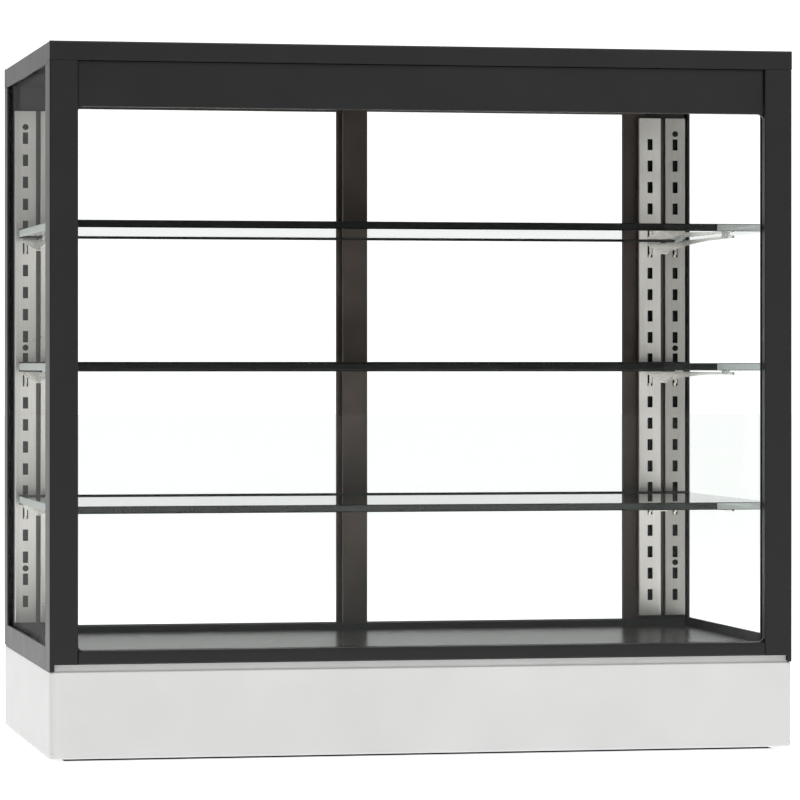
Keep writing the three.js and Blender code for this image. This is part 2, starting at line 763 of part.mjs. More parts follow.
// One folded sheet: two slotted leaves with a groove between them and a flange at each edge.
function upright(side) {
  const t = UPRIGHT_SHEET;
  const back = rearStart - GAP;
  const face = uprightFace;
  const groove = face + GROOVE_DEPTH;
  const section = [
    [leafOuter[0], back],
    [leafOuter[0], face, 1],
    [leafOuter[1], face, 1],
    [leafOuter[1], groove],
    [leafInner[0], groove],
    [leafInner[0], face, 1],
    [leafInner[1], face, 1],
    [leafInner[1], back],
    [leafInner[1] - t, back],
    [leafInner[1] - t, face + t],
    [leafInner[0] + t, face + t],
    [leafInner[0] + t, groove + t],
    [leafOuter[1] - t, groove + t],
    [leafOuter[1] - t, face + t],
    [leafOuter[0] + t, face + t],
    [leafOuter[0] + t, back],
  ];
  const placed = section.map(([s, d, radius]) => [xAt(side, s), yAt(d), radius]);
  const slots = slotColumns.flatMap((s) =>
    Array.from({ length: slotCount }, (_, i) => {
      const z = slotHeight(i);
      const across = [s - SLOT_WIDTH / 2, s + SLOT_WIDTH / 2];
      const heights = [z - SLOT_HEIGHT / 2, z + SLOT_HEIGHT / 2];
      return sideBlock(side, across, [face - 1, face + 2 * t], heights);
    }),
  );
  return cut(prism("z", placed, uprightFoot, uprightTop), ...slots);
}

// ---- Shelves ----

const shelfSide = paneInside + SHELF_PLAY;
const shelfRear = uprightFace - SHELF_BACK_GAP;
const shelfSlot = (i) => slotHeight(SHELF_FIRST_SLOT + i * SHELF_STEP);

function shelfTrim(top) {
  const play = GAP;
  const lip = shelfRear - TRIM_LIP;
  const back = shelfRear + play;
  const under = top - SHELF_GLASS - play;
  const over = top + play;
  const corners = [
    [lip, over],
    [back, over],
    [back, under],
    [lip, under],
    [lip, under - TRIM_WALL],
    [back + TRIM_WALL, under - TRIM_WALL],
    [back + TRIM_WALL, over + TRIM_WALL],
    [lip, over + TRIM_WALL],
  ].map(([d, z]) => [yAt(d), z]);
  return prism("x", corners, xAt(-1, shelfSide), xAt(1, shelfSide));
}

// A tapered blade that stands in the groove, a plate across both leaves and two hooks.
function bracket(side, top, slot) {
  const plateBack = uprightFace - 0.5;
  const plateFront = plateBack - BRACKET_PLATE;
  const middle = (leafOuter[1] + leafInner[0]) / 2;
  const [rear, third, end] = ARM_HEIGHTS;
  const tip = plateFront - ARM_REACH;
  const groove = uprightFace + GROOVE_DEPTH - 0.5;
  const under = [
    [tip + 1, top],
    [tip, top - end],
    [tip + ARM_REACH / 3, top - end],
    [tip + (2 * ARM_REACH) / 3, top - third],
    [plateFront, top - rear],
    [groove, top - rear],
    [groove, top],
  ].map(([d, z]) => [yAt(d), z]);
  const blade = [xAt(side, middle - ARM_THICK / 2), xAt(side, middle + ARM_THICK / 2)];
  const arm = prism("x", under, Math.min(...blade), Math.max(...blade));
  const wings = [slotColumns[0] - HOOK_THICK, slotColumns[1] + HOOK_THICK];
  const plateShape = [
    [top, wings[0]],
    [top, wings[1]],
    [top - BRACKET_DROP / 4, wings[1]],
    [top - BRACKET_DROP, middle + ARM_THICK],
    [top - BRACKET_DROP, middle - ARM_THICK],
    [top - BRACKET_DROP / 4, wings[0]],
  ].map(([z, s]) => [z, xAt(side, s)]);
  const plate = prism("y", plateShape, yAt(plateFront), yAt(plateBack));
  return join(arm, plate, ...slotColumns.flatMap((s) => hook(side, s, plateBack, top, slot)));
}

// A tab through the slot, with a tooth behind the sheet.
function hook(side, s, plateBack, top, slot) {
  const across = [s - HOOK_THICK / 2, s + HOOK_THICK / 2];
  const seat = slot - SLOT_HEIGHT / 2 + HOOK_THICK;
  const behind = uprightFace + UPRIGHT_SHEET + GAP;
  const reach = behind + HOOK_THICK;
  const front = plateBack - BRACKET_PLATE;
  const neck = sideBlock(side, across, [front, plateBack], [seat, top]);
  const tab = sideBlock(side, across, [front, reach], [seat, seat + HOOK_HEIGHT]);
  const tooth = sideBlock(side, across, [behind, reach], [seat - HOOK_TOOTH, seat + HOOK_HEIGHT]);
  return [neck, tab, tooth];
}

function makeShelves() {
  part("left_upright", upright(-1), "stainless");
  part("right_upright", upright(1), "stainless");
  for (let i = 0; i < SHELF_COUNT; i += 1) {
    const slot = shelfSlot(i);
    const top = slot + SHELF_RISE;
    const pane = block(
      [xAt(-1, shelfSide), xAt(1, shelfSide)],
      [yAt(SHELF_FRONT), yAt(shelfRear)],
      [top - SHELF_GLASS, top],
    );
    part(`shelf_glass_${i + 1}`, pane, "glass");
    part(`shelf_rear_trim_${i + 1}`, shelfTrim(top), "darkAluminium");
    const rest = top - SHELF_GLASS - TRIM_WALL - 2 * GAP;
    part(`bracket_left_${i + 1}`, bracket(-1, rest, slot), "stainless");
    part(`bracket_right_${i + 1}`, bracket(1, rest, slot), "stainless");
  }
}

// ---- Doors ----

const trackRoom = (REAR_DEPTH - 3 * TRACK_WALL) / 2;
const doorFoot = frameFoot + TRACK_FLOOR + DOOR_PLAY;
const doorTop = lintelBottom + DOOR_ENGAGE;
const doorWidth = openingHalf - DOOR_PLAY + DOOR_OVERLAP / 2;
const paneSlot = GLASS + 2 * GAP;
const paneGrip = 5;

// Middle plane of the doors on track 0 (front) or 1 (rear), from the front of the case.
function trackMiddle(track) {
  return rearStart + TRACK_WALL + trackRoom / 2 + track * (trackRoom + TRACK_WALL);
}

// A U-shaped section that holds the pane's edge: outer edge at a0, mouth at a1.
function gripSection(a0, a1, middle) {
  const inward = Math.sign(a1 - a0);
  const half = DOOR_THICK / 2;
  return [
    [a0, middle - half, 1],
    [a1, middle - half],
    [a1, middle - paneSlot / 2],
    [a1 - inward * paneGrip, middle - paneSlot / 2],
    [a1 - inward * paneGrip, middle + paneSlot / 2],
    [a1, middle + paneSlot / 2],
    [a1, middle + half],
    [a0, middle + half, 1],
  ];
}

function doorRail(edge, mouth, middle, span) {
  const section = gripSection(edge, mouth, middle).map(([z, y, radius]) => [y, z, radius]);
  return prism("x", section, ...span);
}

// A grip plate with a raised edge, on the rear face of the outer stile.
function doorPull(side, middle) {
  const face = middle + DOOR_THICK / 2 + GAP;
  const centre = side * (openingHalf - DOOR_PLAY - STILE_WIDTH / 2);
  const edges = [centre - (side * PULL_WIDTH) / 2, centre + (side * PULL_WIDTH) / 2];
  const half = (doorTop - doorFoot) / 2;
  const heights = [doorFoot + half - PULL_LENGTH / 2, doorFoot + half + PULL_LENGTH / 2];
  const plate = block(edges, [face, face + PULL_PLATE], heights);
  const ridge = block([edges[0], edges[0] + side * 3], [face, face + PULL_THICK], heights);
  return join(plate, ridge);
}

// side -1 is the left door, on the rear track; side 1 is the right door, on the front track.
function makeDoor(name, side, track) {
  const middle = yAt(trackMiddle(track));
  const outer = side * (openingHalf - DOOR_PLAY);
  const inner = outer - side * doorWidth;
  const outerMouth = outer - side * STILE_WIDTH;
  const innerMouth = inner + side * STILE_WIDTH;
  const stile = (edge, mouth) => prism("z", gripSection(edge, mouth, middle), doorFoot, doorTop);
  part(`${name}_outer_stile`, stile(outer, outerMouth), "darkAluminium");
  part(`${name}_meeting_stile`, stile(inner, innerMouth), "darkAluminium");
  const span = [outerMouth, innerMouth].sort((a, b) => a - b);
  const railSpan = [span[0] + GAP, span[1] - GAP];
  const bottom = [doorFoot, doorFoot + DOOR_RAIL];
  const top = [doorTop, doorTop - DOOR_RAIL];
  part(`${name}_bottom_rail`, doorRail(...bottom, middle, railSpan), "darkAluminium");
  part(`${name}_top_rail`, doorRail(...top, middle, railSpan), "darkAluminium");
  const hidden = paneGrip - GAP;
  const pane = block(
    [span[0] - hidden, span[1] + hidden],
    [middle - GLASS / 2, middle + GLASS / 2],
    [bottom[1] - hidden, top[1] + hidden],
  );
  part(`${name}_glass`, pane, "glass");
  part(`${name}_pull`, doorPull(side, middle), "darkAluminium");
}

makeBase();
makeFrame();
makeGlazing();
makeHeader();
makeShelves();
makeDoor("left_door", -1, 1);
makeDoor("right_door", 1, 0);

export default root;
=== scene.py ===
"""Bakery display case: finishes, soft edges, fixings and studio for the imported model."""
import json
import math

import bpy
from mathutils import Euler, Matrix, Vector


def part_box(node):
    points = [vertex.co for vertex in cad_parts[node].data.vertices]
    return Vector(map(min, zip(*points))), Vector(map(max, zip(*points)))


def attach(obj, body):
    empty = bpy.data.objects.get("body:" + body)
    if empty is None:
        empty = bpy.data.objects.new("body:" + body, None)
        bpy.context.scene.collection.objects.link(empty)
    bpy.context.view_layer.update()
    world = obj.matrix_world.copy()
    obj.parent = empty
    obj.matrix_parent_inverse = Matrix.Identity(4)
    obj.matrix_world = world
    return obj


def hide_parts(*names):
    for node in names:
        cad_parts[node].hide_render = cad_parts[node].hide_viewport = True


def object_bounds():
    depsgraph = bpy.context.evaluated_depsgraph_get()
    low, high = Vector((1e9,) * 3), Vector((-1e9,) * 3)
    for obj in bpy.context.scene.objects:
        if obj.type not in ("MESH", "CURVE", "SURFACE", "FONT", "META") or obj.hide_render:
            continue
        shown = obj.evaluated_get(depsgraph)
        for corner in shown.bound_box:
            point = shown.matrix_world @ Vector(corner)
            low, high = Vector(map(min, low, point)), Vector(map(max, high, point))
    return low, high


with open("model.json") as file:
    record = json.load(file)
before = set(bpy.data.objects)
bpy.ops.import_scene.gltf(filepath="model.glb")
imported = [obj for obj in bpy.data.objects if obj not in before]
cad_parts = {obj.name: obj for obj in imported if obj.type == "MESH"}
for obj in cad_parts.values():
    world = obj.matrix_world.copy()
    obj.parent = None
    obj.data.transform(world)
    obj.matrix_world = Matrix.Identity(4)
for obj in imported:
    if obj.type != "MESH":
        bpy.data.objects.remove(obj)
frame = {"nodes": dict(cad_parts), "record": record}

CAD_BOX = [list(corner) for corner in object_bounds()]
MM = 0.001

BODY_OF = {
    node: body
    for body, nodes in frame["record"]["behaviour"]["bodies"].items()
    for node in nodes
}
SLOT_OF = {row["node"]: row["material_slot"] for row in frame["record"]["subparts"]}


# ---------- Node trees ----------


def linear(code):
    """An sRGB hex code as linear RGBA."""
    parts = [int(code[i : i + 2], 16) / 255 for i in (1, 3, 5)]
    return (*[p / 12.92 if p <= 0.04045 else ((p + 0.055) / 1.055) ** 2.4 for p in parts], 1.0)


def add_node(tree, kind, inputs=None, **settings):
    """One node with its settings; an input is a value or the output socket that feeds it."""
    node = tree.nodes.new("ShaderNode" + kind)
    for name, value in settings.items():
        setattr(node, name, value)
    for name, value in (inputs or {}).items():
        if isinstance(value, bpy.types.NodeSocket):
            tree.links.new(value, node.inputs[name])
        else:
            node.inputs[name].default_value = value
    return node


def new_finish(name):
    """An empty material, its tree and its output node."""
    material = bpy.data.materials.new(name)
    material.use_nodes = True
    tree = material.node_tree
    tree.nodes.clear()
    return material, tree, add_node(tree, "OutputMaterial")


def object_pattern(tree, stretch=(1, 1, 1)):
    """Object coordinates in metres, stretched along an axis for grain."""
    place = add_node(tree, "TexCoord").outputs["Object"]
    return add_node(tree, "Mapping", {"Vector": place, "Scale": stretch}).outputs["Vector"]


def noise(tree, place, size, detail=3.0, roughness=0.5):
    """Noise whose cells are about size metres across."""
    values = {"Vector": place, "Scale": 1 / size, "Detail": detail, "Roughness": roughness}
    return add_node(tree, "TexNoise", values).outputs["Fac"]


def spread(tree, source, low, high, start=0.3, end=0.7):
    """A factor from start to end, spread from low to high."""
    values = {"Value": source, "From Min": start, "From Max": end, "To Min": low, "To Max": high}
    return add_node(tree, "MapRange", values).outputs["Result"]


def tones(tree, source, stops):
    """A colour ramp of (position, sRGB code) stops."""
    ramp = add_node(tree, "ValToRGB", {"Fac": source})
    elements = ramp.color_ramp.elements
    while len(elements) < len(stops):
        elements.new(0.5)
    for element, (position, code) in zip(elements, stops):
        element.position = position
        element.color = linear(code)
    return ramp.outputs["Color"]


def relief(tree, height, depth, strength=1.0, under=None):
    """A bump normal; depth is the height of a full step, in metres."""
    values = {"Height": height, "Distance": depth, "Strength": strength}
    if under is not None:
        values["Normal"] = under
    return add_node(tree, "Bump", values).outputs["Normal"]


def finish_surface(tree, output, inputs):
    """Puts a Principled shader with these inputs behind the output."""
    shader = add_node(tree, "BsdfPrincipled", inputs)
    tree.links.new(shader.outputs["BSDF"], output.inputs["Surface"])


def blend_shaders(tree, output, first, second, factor):
    """Mixes two shaders behind the output; at factor 1 only the second one shows."""
    mix = add_node(tree, "MixShader", {"Fac": factor})
    tree.links.new(first.outputs["BSDF"], mix.inputs[1])
    tree.links.new(second.outputs["BSDF"], mix.inputs[2])
    tree.links.new(mix.outputs["Shader"], output.inputs["Surface"])


# ---------- Paints, metals, plastics and glass ----------

LAMP_PITCH = 0.0167  # from one lamp to the next behind the opal strip
BAND_SCALE = 0.314  # wave texture scale that gives bands one metre apart
SPANGLE = 0.007  # width of a zinc crystal


def powder_coat(name, stops, gloss, peel, shine=0.5):
    """Satin powder coat on steel: an even coat with faint orange peel, so highlights break up softly."""
    material, tree, output = new_finish(name)
    place = object_pattern(tree)
    cloud = noise(tree, place, 0.11, 2.0)
    grain = noise(tree, place, 0.0009, 2.0)
    waves = noise(tree, place, 0.0035, 2.0)
    rubbed = noise(tree, place, 0.035, 5.0, 0.65)
    peeled = relief(tree, waves, peel, 0.55)
    finish_surface(tree, output, {
        "Base Color": tones(tree, cloud, stops),
        "Roughness": spread(tree, rubbed, gloss - 0.02, gloss + 0.03),
        "Specular IOR Level": shine,
        "Normal": relief(tree, grain, peel * 0.35, 0.5, peeled),
    })
    return material


def brushed_metal(name, stops, stretch, gloss, grain_size=0.0009):
    """Brushed stainless steel: fine parallel scratches that draw highlights out along the grain."""
    material, tree, output = new_finish(name)
    grain = noise(tree, object_pattern(tree, stretch), grain_size, 4.0, 0.6)
    hand = noise(tree, object_pattern(tree), 0.045, 4.0, 0.6)
    finish_surface(tree, output, {
        "Base Color": tones(tree, grain, stops),
        "Metallic": 1.0,
        "Roughness": spread(tree, hand, gloss - 0.04, gloss + 0.08),
        "Normal": relief(tree, grain, 0.00003, 0.35),
    })
    return material


def anodised(name, stops, stretch, gloss):
    """Dark anodised aluminium extrusion: a satin sheen with faint die lines along its length."""
    material, tree, output = new_finish(name)
    lines = noise(tree, object_pattern(tree, stretch), 0.0012, 3.0, 0.55)
    cloud = noise(tree, object_pattern(tree), 0.06, 3.0)
    finish_surface(tree, output, {
        "Base Color": tones(tree, cloud, stops),
        "Metallic": 0.75,
        "Roughness": spread(tree, lines, gloss - 0.05, gloss + 0.07),
        "Normal": relief(tree, lines, 0.00002, 0.4),
    })
    return material


def satin_steel(name):
    """Satin stainless sheet: soft reflections with a slow roll and wiping haze."""
    material, tree, output = new_finish(name)
    place = object_pattern(tree)
    roll = noise(tree, place, 0.16, 2.0)
    haze = noise(tree, object_pattern(tree, (0.25, 1, 1)), 0.012, 5.0, 0.7)
    finish_surface(tree, output, {
        "Base Color": tones(tree, haze, [(0.3, "#8E8E8C"), (0.7, "#9A9A97")]),
        "Specular Tint": (0.45, 0.45, 0.45, 1),
        "Metallic": 1.0,
        "Roughness": spread(tree, haze, 0.18, 0.28),
        "Normal": relief(tree, roll, 0.0006, 0.08),
    })
    return material


def galvanised(name):
    """Hot-dip galvanised sheet: flat crystals of zinc, each a slightly different grey."""
    material, tree, output = new_finish(name)
    values = {"Vector": object_pattern(tree), "Scale": 1 / SPANGLE, "Randomness": 1.0}
    spangle = add_node(tree, "TexVoronoi", values)
    grey = add_node(tree, "SeparateColor", {"Color": spangle.outputs["Color"]}).outputs["Red"]
    finish_surface(tree, output, {
        "Base Color": tones(tree, grey, [(0.0, "#8E9092"), (1.0, "#B3B5B6")]),
        "Metallic": 0.9,
        "Roughness": spread(tree, grey, 0.36, 0.58, 0.0, 1.0),
        "Normal": relief(tree, grey, 0.00001, 0.5),
    })
    return material


def moulded_plastic(name, stops, gloss, texture=0.00002, size=0.0006):
    """Injection-moulded plastic: a fine spark-eroded grain over a slightly uneven sheen."""
    material, tree, output = new_finish(name)
    place = object_pattern(tree)
    grain = noise(tree, place, size, 2.0)
    sheen = noise(tree, place, 0.02, 3.0)
    finish_surface(tree, output, {
        "Base Color": tones(tree, sheen, stops),
        "Roughness": spread(tree, sheen, gloss - 0.05, gloss + 0.06),
        "Normal": relief(tree, grain, texture, 0.6),
    })
    return material


def opal_lamp(name):
    """Opal acrylic over a row of lamps: a milky strip with a soft rise of light over each lamp."""
    material, tree, output = new_finish(name)
    waves = add_node(tree, "TexWave", {
        "Vector": object_pattern(tree), "Scale": BAND_SCALE / LAMP_PITCH, "Distortion": 0.0,
    }, wave_type="BANDS", bands_direction="X")
    glow = spread(tree, waves.outputs["Fac"], 1.6, 2.0, 0.0, 1.0)
    finish_surface(tree, output, {
        "Base Color": linear("#F2F1EC"),
        "Roughness": spread(tree, noise(tree, object_pattern(tree), 0.004), 0.45, 0.6),
        "Emission Color": linear("#FFF6E6"),
        "Emission Strength": glow,
    })
    return material


def pane_glass(name):
    """Coated clear glass: nearly all light passes straight through, with a faint mirror at a slant."""
    material, tree, output = new_finish(name)
    smear = noise(tree, object_pattern(tree, (1, 1, 0.4)), 0.05, 4.0, 0.6)
    clear = add_node(tree, "BsdfTransparent", {"Color": (0.985, 0.993, 0.988, 1)})
    gloss = add_node(tree, "BsdfGlossy", {"Roughness": spread(tree, smear, 0.0, 0.025)})
    slant = add_node(tree, "LayerWeight", {"Blend": 0.5}).outputs["Facing"]
    steep = add_node(tree, "Math", {0: slant, 1: 4.0}, operation="POWER").outputs["Value"]
    blend_shaders(tree, output, clear, gloss, spread(tree, steep, 0.008, 0.06, 0.0, 1.0))
    return material


def slab_glass(name):
    """Thick clear glass: it bends light, so its edges carry what lies beyond them; lamps shine through."""
    material, tree, output = new_finish(name)
    smear = noise(tree, object_pattern(tree), 0.04, 4.0, 0.6)
    body = add_node(tree, "BsdfPrincipled", {
        "Base Color": (0.9, 0.92, 0.91, 1),
        "Specular Tint": (0.62, 0.65, 0.64, 1),
        "Roughness": spread(tree, smear, 0.0, 0.02),
        "IOR": 1.5,
        "Transmission Weight": 1.0,
    })
    through = add_node(tree, "BsdfTransparent", {"Color": (0.92, 0.95, 0.935, 1)})
    path = add_node(tree, "LightPath").outputs["Is Shadow Ray"]
    blend_shaders(tree, output, body, through, path)
    return material


def ground_edge(name, stops, glow):
    """Glass edge left matt from the grinding wheel: frosty, with a painted glow of strength glow standing
    in for light carried inside the slab.
    """
    material, tree, output = new_finish(name)
    place = object_pattern(tree)
    pits = noise(tree, place, 0.0007, 2.0)
    finish_surface(tree, output, {
        "Base Color": tones(tree, noise(tree, place, 0.01), stops),
        # painted glow: emission on an edge that is no lamp
        "Emission Color": linear("#F4F8F6"),
        "Emission Strength": glow,
        "Roughness": spread(tree, pits, 0.4, 0.6),
        "IOR": 1.5,
        "Normal": relief(tree, pits, 0.00005, 0.5),
    })
    return material


def clear_silicone(name):
    """Clear silicone rubber: cloudy and soft, with a dull skin that picks up dust."""
    material, tree, output = new_finish(name)
    dust = noise(tree, object_pattern(tree), 0.002, 3.0)
    finish_surface(tree, output, {
        "Base Color": tones(tree, dust, [(0.3, "#D5D9D8"), (0.7, "#E4E6E5")]),
        "Roughness": spread(tree, dust, 0.4, 0.55),
        "Transmission Weight": 0.3,
        "IOR": 1.41,
    })
    return material


ALONG_X, ALONG_Y, ALONG_Z = (0.02, 1, 1), (1, 0.02, 1), (1, 1, 0.02)
STEEL_TONES = [(0.3, "#E6E0DA"), (0.7, "#F2EEEA")]
BRACKET_TONES = [(0.3, "#DEDBD6"), (0.7, "#EDEBE7")]
# painted shade: a darker tone of the upright steel for the right upright's outer leaf
PAINTED_SHADE_TONES = [(0.3, "#ADA9A5"), (0.7, "#BAB6B2")]
DOOR_TONES = [(0.3, "#49403C"), (0.7, "#574E49")]

white_paint = powder_coat("white_powder_coat", [(0.35, "#DBDBDA"), (0.65, "#E0E0DF")], 0.38, 0.00004)
black_paint = powder_coat("black_powder_coat", [(0.3, "#101010"), (0.7, "#151515")], 0.40, 0.00004, 0.4)
steel_upright = brushed_metal("brushed_stainless_upright", STEEL_TONES, ALONG_Z, 0.30)
steel_bracket = brushed_metal("brushed_stainless_bracket", BRACKET_TONES, ALONG_Y, 0.2)
steel_painted_shade = brushed_metal("brushed_stainless_painted_shade", PAINTED_SHADE_TONES, ALONG_Z, 0.34)
# painted shade: darker steel for the groove between an upright's leaves, where shade falls
groove_painted_shade = brushed_metal("painted_shade_groove_steel", [(0.3, "#57514C"), (0.7, "#655F59")], ALONG_Z, 0.4)
door_upright = anodised("dark_anodised_upright", DOOR_TONES, ALONG_Z, 0.36)
door_level = anodised("dark_anodised_level", DOOR_TONES, ALONG_X, 0.36)
mill_aluminium = brushed_metal("mill_aluminium", [(0.3, "#B0B2B4"), (0.7, "#BFC1C3")], ALONG_X, 0.36)
deck_steel = satin_steel("polished_stainless")
zinc_sheet = galvanised("galvanised_steel")
# rubber for the feet; its dark colour also serves the painted shadow sheet under the case
rubber_and_painted_shadow = moulded_plastic("moulded_rubber_and_painted_shadow", [(0.3, "#191919"), (0.7, "#202020")], 0.78, 0.00006, 0.0012)
trim_plastic = moulded_plastic("extruded_edge_trim", [(0.3, "#070707"), (0.7, "#0B0B0B")], 0.6)
black_plastic = moulded_plastic("moulded_black_plastic", [(0.3, "#161616"), (0.7, "#1C1C1C")], 0.45)
rocker_plastic = moulded_plastic("polished_black_plastic", [(0.3, "#121212"), (0.7, "#171717")], 0.2)
lamp_opal = opal_lamp("opal_acrylic")
float_glass = pane_glass("clear_float_glass")
shelf_glass = slab_glass("clear_shelf_glass")
shelf_edge = ground_edge("ground_glass_edge", [(0.3, "#A9B0AD"), (0.7, "#B6BCB9")], 0.0)
# painted light: a lighter, glowing copy of the ground edge for the shelves' right ends
shelf_edge_painted_light = ground_edge("ground_glass_edge_painted_light", [(0.3, "#DDE4E1"), (0.7, "#E8ECEA")], 0.2)
pad_silicone = clear_silicone("clear_silicone")
black_screw = brushed_metal("black_oxide_screw", [(0.3, "#1D1C1B"), (0.7, "#2A2928")], ALONG_X, 0.4)
zinc_screw = brushed_metal("zinc_plated_screw", [(0.3, "#B5B8BA"), (0.7, "#C9CCCE")], ALONG_X, 0.32)
brush_pile = moulded_plastic("brush_pile", [(0.3, "#101010"), (0.7, "#1B1B1B")], 0.85, 0.0002, 0.0004)

FINISH_OF_SLOT = {
    "white_paint": white_paint,
    "black_paint": black_paint,
    "galvanised_sheet": zinc_sheet,
    "rubber": rubber_and_painted_shadow,
    "polished_steel": deck_steel,
    "stainless_steel": steel_upright,
    "aluminium": mill_aluminium,
    "dark_aluminium": door_level,
    "dark_trim": trim_plastic,
    "black_plastic": black_plastic,
    "rocker_plastic": rocker_plastic,
    "light_diffuser": lamp_opal,
    "clear_glass": float_glass,
    "shelf_glass": shelf_glass,
}


def finish_of(node):
    """The finish of a CAD node, with the grain along the piece."""
    if "stile" in node:
        return door_upright
    if node.startswith("bracket"):
        return steel_bracket
    return FINISH_OF_SLOT[SLOT_OF[node]]


# ---------- Modelling helpers ----------


FOLD_ANGLE = math.radians(30)  # edges sharper than this are rounded
SMOOTH_ANGLE = math.radians(40)  # edges sharper than this stay crisp in the shading
MERGE_DISTANCE = 0.002 * MM
FLAT_ANGLE = math.radians(0.4)  # triangles nearer to one plane than this become one face


def object_mode():
    bpy.ops.object.mode_set(mode="OBJECT")


def edit_mode():
    bpy.ops.object.mode_set(mode="EDIT")


def clear_selection():
    if bpy.context.object and bpy.context.object.mode != "OBJECT":
        object_mode()
    bpy.ops.object.select_all(action="DESELECT")


def take(piece):
    """Makes piece the one selected and active object."""
    clear_selection()
    piece.select_set(True)
    bpy.context.view_layer.objects.active = piece


def apply_modifier(piece, kind, **settings):
    take(piece)
    modifier = piece.modifiers.new(kind.lower(), kind)
    for name, value in settings.items():
        setattr(modifier, name, value)
    bpy.ops.object.modifier_apply(modifier=modifier.name)


def soften(piece, radius, steps=2):
    """Rounds the sharp edges of a piece and shades it smooth."""
    if radius:
        apply_modifier(
            piece, "BEVEL", width=radius, segments=steps, limit_method="ANGLE",
            angle_limit=FOLD_ANGLE, use_clamp_overlap=True, harden_normals=False,
        )
    take(piece)
    bpy.ops.object.shade_smooth_by_angle(angle=SMOOTH_ANGLE)
    apply_modifier(piece, "WEIGHTED_NORMAL", mode="FACE_AREA", weight=100, keep_sharp=True)


def select_where(piece, kind, test):
    """Edit mode with only the faces or edges selected whose centre and normal or run pass the test."""
    take(piece)
    edit_mode()
    bpy.ops.mesh.select_mode(type=kind)
    bpy.ops.mesh.select_all(action="DESELECT")
    object_mode()
    mesh = piece.data
    if kind == "FACE":
        for face in mesh.polygons:
            face.select = test(face.center, face.normal)
    else:
        for edge in mesh.edges:
            ends = [mesh.vertices[i].co for i in edge.vertices]
            edge.select = test((ends[0] + ends[1]) / 2, (ends[1] - ends[0]).normalized())
    edit_mode()


def new_block(name, low, high):
    """A block between two corners, in metres, as a start for a piece."""
    clear_selection()
    low, high = Vector(low), Vector(high)
    bpy.ops.mesh.primitive_cube_add(size=1, location=(low + high) / 2, scale=high - low)
    bpy.ops.object.transform_apply(location=True, rotation=True, scale=True)
    block = bpy.context.object
    block.name = name
    return block


def cut_by(piece, cutter):
    """Takes the cutter's volume out of the piece."""
    apply_modifier(piece, "BOOLEAN", operation="DIFFERENCE", object=cutter, solver="EXACT")
    bpy.data.objects.remove(cutter)


def copy_to(piece, name, place, turn=(0, 0, 0)):
    """A copy of a piece modelled at the origin, with its own mesh, turned and moved."""
    copy = bpy.data.objects.new(name, piece.data.copy())
    bpy.context.scene.collection.objects.link(copy)
    turned = Euler([math.radians(angle) for angle in turn]).to_matrix().to_4x4()
    copy.data.transform(Matrix.Translation(Vector(place)) @ turned)
    return copy


def settle(piece, finish, body="cabinet"):
    """Gives a new piece its finish and its body, with its place in its mesh."""
    take(piece)
    bpy.ops.object.transform_apply(location=True, rotation=True, scale=True)
    piece.data.materials.clear()
    piece.data.materials.append(finish)
    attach(piece, body)


def merged_copy(node):
    """A CAD node's mesh as a new object, with its triangles merged into flat faces."""
    source = frame["nodes"][node]
    piece = bpy.data.objects.new(node + "_finished", source.data.copy())
    bpy.context.scene.collection.objects.link(piece)
    take(piece)
    edit_mode()
    bpy.ops.mesh.select_all(action="SELECT")
    bpy.ops.mesh.remove_doubles(threshold=MERGE_DISTANCE)
    bpy.ops.mesh.dissolve_limited(angle_limit=FLAT_ANGLE)
    object_mode()
    return piece


def finish_node(node, radius, steps):
    """Replaces a CAD node by itself with soft edges and its finish."""
    piece = merged_copy(node)
    soften(piece, radius, steps)
    settle(piece, finish_of(node), BODY_OF[node])
    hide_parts(node)
    return piece


def span(node):
    """Lowest corner, highest corner and centre of a CAD node."""
    low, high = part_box(node)
    return low, high, (low + high) / 2


# ---------- Softened CAD pieces ----------

PANES = ["front_glass", "left_glass", "right_glass", "left_door_glass", "right_door_glass"]
KEPT = PANES + ["canopy_light_diffuser"]
FEET = ["foot_front_left", "foot_front_right", "foot_rear_left", "foot_rear_right"]
EDGE_RADII = {  # radius and steps for the pieces whose edges differ from the usual fold
    "base_housing": (0.5 * MM, 2),
    "shelf_glass": (0.7 * MM, 1),
    "front_top_rail": (0.8 * MM, 3),
    "post_": (0.8 * MM, 3),
    "light_header": (0.6 * MM, 2),
    "bracket": (0.3 * MM, 2),
    "upright": (0.35 * MM, 1),
    "door_": (0.5 * MM, 2),
    "foot_": (0.8 * MM, 2),
}
USUAL_EDGE = (0.35 * MM, 2)
FOOT_TREAD = 4 * MM  # outer ring of a foot's underside
FOOT_STEP = (0.8 * MM, 0.6 * MM)  # width and depth of the step inside it
FOOT_LAND = 5 * MM
FOOT_WALL = 0.3 * MM
FOOT_RECESS = 2.2 * MM
OUTER_LEAF = 24.25 * MM
LEAF_GROOVE = 5 * MM
SEAM = 0.1 * MM


def edge_of(node):
    return next((edge for key, edge in EDGE_RADII.items() if key in node), USUAL_EDGE)


def finish_cad():
    """Every CAD node gets its finish; all but the plain panes and the lamp diffuser get soft edges too."""
    for node in sorted(frame["nodes"]):
        if node in KEPT:
            source = frame["nodes"][node]
            source.data.materials.clear()
            source.data.materials.append(finish_of(node))
        elif node in FEET:
            finish_foot(node)
        else:
            piece = finish_node(node, *edge_of(node))
            if node.startswith("shelf_glass"):
                grind_ends(piece)
            if node.endswith("_upright"):
                shade_leaves(piece)


def grind_ends(piece):
    """Gives the short ends of a shelf their ground finish; the right one gets a lighter copy with a painted
    glow, as painted light.
    """
    piece.data.materials.append(shelf_edge)
    piece.data.materials.append(shelf_edge_painted_light)
    for face in piece.data.polygons:
        if face.normal.x < -0.5:
            face.material_index = 1
        # the right end gets the painted light
        elif face.normal.x > 0.5:
            face.material_index = 2


